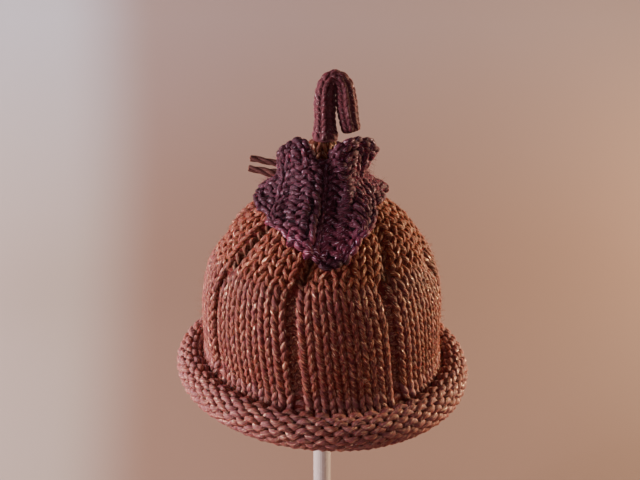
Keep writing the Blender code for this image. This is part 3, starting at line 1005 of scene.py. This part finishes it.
def strandGroup():  # where a point lies on twisted yarn: ply, fibre, slow colour change and fleck
    tree = bpy.data.node_groups.new("strandOfYarn", "ShaderNodeTree")
    for name, start in strandInputs.items():
        socket = tree.interface.new_socket(name, in_out="INPUT", socket_type="NodeSocketFloat")
        socket.default_value = start
    for name in ("Ply", "Fibre", "Tone", "Fleck"):
        tree.interface.new_socket(name, in_out="OUTPUT", socket_type="NodeSocketFloat")
    given = tree.nodes.new("NodeGroupInput").outputs
    yarnMap = addNode(tree, "ShaderNodeUVMap", uv_map="yarn").outputs[0]
    along, around = addNode(tree, "ShaderNodeSeparateXYZ", {0: yarnMap}).outputs[:2]
    twist = calc(tree, "DIVIDE", calc(tree, "MULTIPLY", along, given["Turns"]), given["Plies"])
    angle = calc(tree, "MULTIPLY", calc(tree, "ADD", around, twist), 2 * math.pi)
    lobes = calc(tree, "MULTIPLY", calc(tree, "MULTIPLY", angle, given["Plies"]), 0.5)
    sides = [calc(tree, "MULTIPLY", calc(tree, turned, angle), given["Streak"])
             for turned in ("COSINE", "SINE")]
    sides.append(calc(tree, "MULTIPLY", along, given["Length"]))
    onStrand = addNode(tree, "ShaderNodeCombineXYZ", dict(enumerate(sides))).outputs[0]
    patches = {"W": calc(tree, "MULTIPLY", along, given["Patch"]), "Scale": 1.0, "Detail": 2.0}
    tone = addNode(tree, "ShaderNodeTexNoise", patches, noise_dimensions="1D")
    fleckPlace = addNode(tree, "ShaderNodeVectorMath", {0: onStrand, 3: given["FleckSize"]},
                         operation="SCALE").outputs[0]
    setSockets(tree.nodes.new("NodeGroupOutput"), {
        "Ply": calc(tree, "ABSOLUTE", calc(tree, "SINE", lobes)),
        "Fibre": noise(tree, onStrand, Scale=1.6, Detail=3.0, Roughness=0.7),
        "Tone": tone.outputs["Fac"],
        "Fleck": noise(tree, fleckPlace, Scale=1.0, Detail=0.0),
    })
    return tree


yarnGroup = strandGroup()
yarnLook = {
    "tone": (0.38, 0.62),       # of each noise, the range over which the yarn changes
    "fibre": (0.35, 0.68),
    "heather": (0.50, 0.66),
    "groove": 0.5,              # the groove between two plies: its width, and how dark its painted shade makes it
    "grooveShade": 0.82,
    "fleckWide": 0.03,
    "fleckRoughness": 0.25,
    "fleckMetal": 0.5,
    "glowDepth": 0.0025,
    "plyHeight": 0.5,
    "fibreHeight": 0.6,
    "bumpDepth": 0.0006,
}


def yarnFinish(name, spec):
    finish, tree, shader = newFinish(name)
    strand = addNode(tree, "ShaderNodeGroup", {"Turns": spec["turns"]}, node_tree=yarnGroup).outputs
    tone, fibre, heather = (remap(tree, strand[output], *yarnLook[band]) for output, band in
                            (("Tone", "tone"), ("Fibre", "fibre"), ("Fleck", "heather")))
    colour = mixColours(tree, tone, spec["warm"], spec["cool"])
    colour = mixColours(tree, heather, colour, spec["light"])
    colour = mixColours(tree, fibre, spec["dark"], colour)
    groove = remap(tree, strand["Ply"], 0.0, yarnLook["groove"], yarnLook["grooveShade"])
    colour = mixColours(tree, 1.0, colour, groove, "MULTIPLY")
    fleckFrom = spec["fleckFrom"]
    fleck = remap(tree, strand["Fleck"], fleckFrom, fleckFrom + yarnLook["fleckWide"])
    colour = mixColours(tree, fleck, colour, spec["glint"])
    # painted shade and painted highlight from the piece's shade attribute: the colour is multiplied
    # by one less it
    shade = addNode(tree, "ShaderNodeAttribute", attribute_name="shade").outputs["Fac"]
    setSockets(shader, {
        "Base Color": mixColours(tree, 1.0, colour, calc(tree, "SUBTRACT", 1.0, shade), "MULTIPLY"),
        "Roughness": remap(tree, fleck, 0.0, 1.0, spec["roughness"], yarnLook["fleckRoughness"]),
        "Metallic": calc(tree, "MULTIPLY", fleck, yarnLook["fleckMetal"]),
        "Subsurface Weight": spec["soft"],
        "Subsurface Radius": spec["glow"],
        "Subsurface Scale": yarnLook["glowDepth"],
        "Specular IOR Level": spec["gloss"],
        "Specular Tint": (*spec["tint"], 1),
    })
    height = calc(tree, "ADD", calc(tree, "MULTIPLY", strand["Ply"], yarnLook["plyHeight"]),
                  calc(tree, "MULTIPLY", strand["Fibre"], yarnLook["fibreHeight"]))
    addBump(shader, height, Distance=yarnLook["bumpDepth"], Strength=spec["bump"])
    return finish


matted = (0.35, 0.7)            # the part of the noise between the darkest and the lightest fibre


def woolFinish(name, dark, light):  # matted fibre behind the stitches, darker than the yarn: partly painted shade in the gaps between the stitches
    finish, tree, shader = newFinish(name)
    fibre = noise(tree, placeOn(tree), Scale=900.0, Detail=4.0, Roughness=0.7, Distortion=1.5)
    setSockets(shader, {
        "Base Color": mixColours(tree, remap(tree, fibre, *matted), dark, light),
        "Roughness": 0.95,
        "Specular IOR Level": 0.2,
    })
    addBump(shader, fibre, Distance=0.0008, Strength=0.8)
    return finish


def plasticFinish(name, spec):  # moulded, glossy, with faint smears
    finish, tree, shader = newFinish(name)
    spot = placeOn(tree)
    cloud = noise(tree, spot, Scale=18.0, Detail=3.0)
    smear = noise(tree, spot, Scale=140.0, Detail=4.0, Distortion=0.8)
    setSockets(shader, {
        "Base Color": mixColours(tree, cloud, spec["light"], spec["shade"]),
        "Roughness": remap(tree, smear, *spec["smear"], *spec["roughness"]),
        "Coat Weight": spec["coat"],
        "Coat Roughness": 0.08,
    })
    addBump(shader, noise(tree, spot, Scale=400.0, Detail=2.0), Distance=0.0002, Strength=0.25)
    return finish


def paperFinish(name, spec):  # the wall and floor, each in its own tone, cloudy and slightly rough, and lighter at the left with painted window light
    finish, tree, shader = newFinish(name)
    spot = placeOn(tree)
    side, back, up = addNode(tree, "ShaderNodeSeparateXYZ", {0: spot}).outputs
    cloud = noise(tree, spot, Scale=1.5, Detail=3.0)
    cloud = calc(tree, "MULTIPLY_ADD", cloud, spec["cloud"], -spec["cloud"] / 2)
    onWall = remap(tree, calc(tree, "ADD", up, cloud), 0.0, spec["blend"])
    # painted light: lighter towards the left, as the window would light it
    fan = calc(tree, "MAXIMUM", calc(tree, "MULTIPLY_ADD", back, spec["fan"], 1.0), 1.0)
    lit = remap(tree, calc(tree, "DIVIDE", side, fan), *spec["light"], curve="SMOOTHSTEP")
    colour = mixColours(tree, onWall, spec["floor"], spec["wall"])
    setSockets(shader, {
        "Base Color": mixColours(tree, lit, colour, spec["paintedWindowLight"], "MULTIPLY"),
        "Roughness": 0.9,
    })
    addBump(shader, noise(tree, spot, Scale=600.0, Detail=2.0), Distance=0.0003, Strength=0.3)
    return finish


rust = {
    "warm": (0.138, 0.0135, 0.0065),
    "cool": (0.115, 0.0120, 0.0240),
    "light": (0.40, 0.128, 0.070),
    "dark": (0.050, 0.0040, 0.0060),
    "glint": (0.80, 0.48, 0.30),
    "fleckFrom": 0.735,
    "roughness": 0.66,
    "gloss": 0.32,
    "tint": (1.0, 0.72, 0.58),
    "soft": 0.5,
    "glow": (1.0, 0.35, 0.25),
    "bump": 0.7,
    "turns": 2.0,
}
# the rolled brim's copy is lighter and pinker: painted light, as the roll catches more of the
# lamps; the gathered top's copy is more orange, and redder in its deeps
rolledLighter = dict(rust, warm=(0.215, 0.036, 0.022), cool=(0.190, 0.040, 0.058),
              light=(0.49, 0.195, 0.140), dark=(0.105, 0.018, 0.021), gloss=0.40,
              tint=(1.0, 0.80, 0.70))
shoulder = dict(rust, warm=(0.178, 0.0160, 0.0062), cool=(0.142, 0.0130, 0.0145),
                light=(0.48, 0.158, 0.064), dark=(0.055, 0.0036, 0.0044), soft=0.4)
plum = dict(rust, warm=(0.052, 0.006, 0.010), cool=(0.043, 0.006, 0.015),
            light=(0.140, 0.036, 0.058), dark=(0.020, 0.003, 0.005), glint=(0.42, 0.28, 0.36),
            gloss=0.17, tint=(1.0, 0.62, 0.80), soft=0.4, glow=(1.0, 0.3, 0.5))
mauve = dict(rust, warm=(0.080, 0.013, 0.017), cool=(0.072, 0.014, 0.024),
             light=(0.110, 0.026, 0.032), dark=(0.054, 0.011, 0.014), glint=(0.45, 0.3, 0.3),
             fleckFrom=0.755, gloss=0.18, tint=(1.0, 0.65, 0.70), soft=0.4, glow=(1.0, 0.3, 0.4))
brown = dict(rust, warm=(0.095, 0.024, 0.019), cool=(0.085, 0.022, 0.024),
             light=(0.13, 0.04, 0.036), dark=(0.045, 0.011, 0.010), glint=(0.3, 0.2, 0.15),
             fleckFrom=0.78, gloss=0.2, tint=(1.0, 0.7, 0.6), soft=0.2, glow=(1.0, 0.4, 0.3),
             bump=0.6, turns=1.2)


# Dressing the hat
def addYarn(name, strands, girth, finish, node, paintedShadeOf=None, sides=6):
    mesh = yarnMesh(name, strands, girth, sides)
    if paintedShadeOf:
        paintShade(mesh, paintedShadeOf)
    addPiece(name, mesh, finish, node)
    print(name + ":", len(mesh.polygons), "faces")


def addBack(name, placeOf, knit, finish, node):
    sheet = backSheet(name, placeOf, *knit["backGrid"], knit["backing"])
    addPiece(name, sheet, finish, node)


rustYarn = yarnFinish("rustHeatherYarn", rust)
rolledLitYarn = yarnFinish("rolledPaintedLightYarn", rolledLighter)
shoulderYarn = yarnFinish("shoulderHeatherYarn", shoulder)
rustBack = woolFinish("rustWool", (0.052, 0.004, 0.004), (0.12, 0.012, 0.008))
strands, rollRow, notchRow = knitCrown()
for name, finish, rows in (("rolledBrim", rolledLitYarn, strands[:rollRow]),
                           ("crownRibs", rustYarn, strands[rollRow:notchRow]),
                           ("crownTop", shoulderYarn, strands[notchRow:])):
    addYarn(name, rows, knitting["yarnRadius"], finish, "crown", crownPaintedShade)
addYarn("crownFuzz", crownHairs(), fuzz["radius"], rustYarn, "crown",
        sides=fuzz["sides"])
addBack("crownBacking", crownBack, knitting, rustBack, "crown")

plumYarn = yarnFinish("plumYarn", plum)
plumBack = woolFinish("plumWool", (0.008, 0.003, 0.005), (0.03, 0.009, 0.014))
ruffSurface()
for name, rows in (("ruffStitches", knitRuff()), ("ruffEdge", edgeRuff())):
    addYarn(name, rows, ruff["yarnRadius"], plumYarn, "neck_ruff", ruffPaintedShade)
addYarn("ruffFuzz", ruffHairs(), fuzz["radius"], plumYarn, "neck_ruff",
        sides=fuzz["sides"])
addBack("ruffBacking", ruffBack, ruff, plumBack, "neck_ruff")

mauveYarn = yarnFinish("mauveYarn", mauve)
mauveBack = woolFinish("mauveWool", (0.060, 0.013, 0.017), (0.11, 0.025, 0.032))
addYarn("stemStitches", knitStem(), stem["yarnRadius"], mauveYarn, "stem")
core, coreRadius = (line[:-stem["coreShort"]] for line in stemPath())
core = [(core, False, (coreRadius + stem["coreOut"]) / stem["radius"])]
addYarn("stemBacking", core, stem["radius"], mauveBack, "stem",
        sides=stem["coreSides"])

tieStrands, tieStrandRadius = twistTie()
addYarn("tieCord", tieStrands, tieStrandRadius, yarnFinish("brownYarn", brown),
        "neck_tie")

# painted shade: both tones are darker and pinker than white plastic, for the shade under the hat's
# brim and the pink light thrown back from the wall
whitePlasticInPaintedShade = plasticFinish("whitePlasticInPaintedShade", {
    "light": (0.43, 0.335, 0.315),
    "shade": (0.375, 0.295, 0.272),
    "smear": (0.3, 0.7),
    "roughness": (0.16, 0.34),
    "coat": 0.4,
})
for name in ("stand_foot", "stand_post", "stand_rest"):
    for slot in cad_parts[name].material_slots:
        slot.material = whitePlasticInPaintedShade
print("stand finished")

# Floor and backdrop
stage = {
    "wall": (0.254, 0.172, 0.160),
    "floor": (0.222, 0.122, 0.090),
    "blend": 0.3,               # height over which the floor's tone turns into the wall's
    "cloud": 0.12,              # and by how much that border wanders
    # painted light from the window: how much lighter the left of the floor and wall is
    "paintedWindowLight": (1.62, 2.20, 2.60),
    "light": (-0.12, -0.20),    # sideways, where the painted window light starts and is full
    "fan": 1.55,                # it lies further out by this much for each metre towards the wall
    "near": -2.0,
    "deep": 1.2,
    "wide": 4.0,
    "tall": 2.0,
    "curve": 0.8,
    "curveSteps": 16,
}


def buildStage(spec):
    shape = bmesh.new()
    corners = [shape.verts.new((-spec["wide"] / 2, y, z)) for y, z in
               ((spec["near"], 0.0), (spec["deep"], 0.0), (spec["deep"], spec["tall"]))]
    for pair in zip(corners, corners[1:]):
        shape.edges.new(pair)
    bmesh.ops.bevel(shape, geom=[corners[1]], offset=spec["curve"], segments=spec["curveSteps"],
                    profile=0.5, affect="VERTICES", material=-1)
    grown = bmesh.ops.extrude_edge_only(shape, edges=shape.edges[:])
    moved = [part for part in grown["geom"] if isinstance(part, bmesh.types.BMVert)]
    bmesh.ops.translate(shape, verts=moved, vec=(spec["wide"], 0, 0))
    mesh = meshOf("studioFloor", shape)
    mesh.materials.append(paperFinish("palePaper", spec))
    addObject("studioFloor", mesh)


buildStage(stage)
print("stage built")

# Light: a window at the left, a warm lamp behind at the right, and a weak fill from the front
lights = (  # name, place, target, size, power, colour
    ("leftWindow", (-1.25, -0.12, 0.42), (0, 0, 0.22), 1.0, 68, (1.0, 0.93, 0.96)),
    ("rightLamp", (1.15, 0.40, 0.36), (0, 0, 0.22), 0.5, 40, (1.0, 0.82, 0.52)),
    ("frontFill", (0.1, -1.6, 0.6), (0, 0, 0.2), 1.4, 9, (1.0, 0.93, 0.96)),
)
surround = {"colour": (0.90, 0.82, 0.78), "strength": 0.10}


def addLight(name, place, target, size, power, colour):
    data = bpy.data.lights.new(name, "AREA")
    data.shape = "DISK"
    data.size = size
    data.energy = power
    data.color = colour
    item = addObject(name, data)
    item.location = place
    item.rotation_euler = (Vector(target) - Vector(place)).to_track_quat("-Z", "Y").to_euler()


for light in lights:
    addLight(*light)
world = bpy.data.worlds.new("studio")
bpy.context.scene.world = world
world.use_nodes = True
setSockets(world.node_tree.nodes["Background"],
           {"Color": (*surround["colour"], 1), "Strength": surround["strength"]})
print("lights set")
